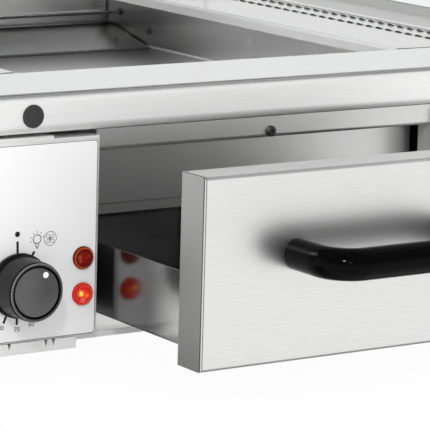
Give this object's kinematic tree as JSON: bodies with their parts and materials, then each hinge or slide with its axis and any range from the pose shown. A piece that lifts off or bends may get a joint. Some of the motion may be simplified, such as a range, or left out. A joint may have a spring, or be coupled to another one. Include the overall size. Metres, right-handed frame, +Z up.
{
  "type": "hot food counter",
  "caption": "Heated stainless counter with a sunken display well, a pull-out drawer under it, a thermostat panel, slotted side plates and a lit glass hood with a lifting operator flap",
  "frame": {"origin": "on the worktop, under the middle of the resting counter's box, with the drawer pulled out and the flap raised", "axes": "+X to the operator's right, +Y through the counter towards the customer, +Z up"},
  "size_m": [0.616, 0.807, 0.559],
  "materials": {
    "stainless": "satin brushed stainless steel",
    "polished_stainless": "bright rolled stainless steel",
    "fastener_steel": "darkened steel screw heads",
    "black_plug": "matt black plastic",
    "foil": "satin printed overlay",
    "black_knob": "fine matt black plastic",
    "knob_face": "ribbed dark grey plastic",
    "lens_lit": "clear red, lit",
    "lens_dark": "clear red, unlit",
    "dark_housing": "moulded black plastic",
    "black_handle": "gloss black plastic",
    "glide": "white low-friction plastic",
    "glass": "clear toughened glass",
    "diffuser": "frosted",
    "lamp": "frosted tube",
    "heater": "heat-darkened tube",
    "motor": "black enamel",
    "impeller": "mill finish",
    "ceramic": "unglazed",
    "foot_rubber": "black rubber",
    "gland": "black nylon"
  },
  "bodies": {
    "root": {"feet": "foot_rubber", "foot_studs": "fastener_steel", "base_tray": "stainless", "under_rails": "stainless", "side_casings": "stainless", "front_deck": "polished_stainless", "rail_end_caps": "stainless", "rail_plugs": "black_plug", "screw_band": "stainless", "band_screw": "fastener_steel", "control_panel": "stainless", "blank_panel": "stainless", "panel_foil": "foil", "thermostat": "dark_housing", "thermostat_nut": "fastener_steel", "lamp_lens_lower": "lens_lit", "lamp_lens_upper": "lens_dark", "lamp_bodies": "dark_housing", "partitions": "stainless", "runners": "stainless", "plenum_tray": "stainless", "plenum_wall": "stainless", "heating_element": "heater", "heater_mounts": "fastener_steel", "fan_motor": "motor", "well_basin": "polished_stainless", "basin_screws": "fastener_steel", "air_baffle": "polished_stainless", "rear_casing": "stainless", "air_duct_lip": "stainless", "cable_gland": "gland", "terminal_block": "ceramic", "safety_cutout": "ceramic", "slotted_plates": "stainless", "glass_channels": "stainless", "side_glasses": "glass", "front_glass": "glass", "canopy": "stainless", "lamp_cover": "diffuser", "lamp_tube": "lamp", "lamp_holders": "glide", "hood_posts": "stainless", "hinge_pins": "fastener_steel"},
    "drawer": {"drawer_front": "stainless", "drawer_liner": "stainless", "drawer_tray": "polished_stainless", "drawer_handle": "black_handle", "handle_screws": "fastener_steel", "tray_rivets": "fastener_steel", "tray_glides": "glide"},
    "knob": {"knob_body": "black_knob", "knob_disc": "knob_face", "knob_shaft": "fastener_steel"},
    "flap": {"flap_glass": "glass", "flap_clamps": "stainless", "flap_grip": "stainless", "grip_bolts": "fastener_steel"},
    "fan": {"fan_impeller": "impeller", "fan_shaft": "fastener_steel"}
  },
  "joints": [
    {"name": "drawer_slide", "type": "slide", "parent": "root", "child": "drawer", "axis": [0, -1, 0], "range_m": [-0.0953, 0.17]},
    {"name": "knob_turn", "type": "hinge", "parent": "root", "child": "knob", "pos_m": [-0.1905, -0.17059, 0.063], "axis": [0, 1, 0], "range_deg": [-30, 200]},
    {"name": "flap_hinge", "type": "hinge", "parent": "root", "child": "flap", "pos_m": [0, -0.09259, 0.508], "axis": [1, 0, 0], "range_deg": [0, 95]},
    {"name": "fan_spin", "type": "hinge", "parent": "root", "child": "fan", "pos_m": [0, 0.30541, 0.12], "axis": [0, 0, 1], "continuous": true}
  ]
}
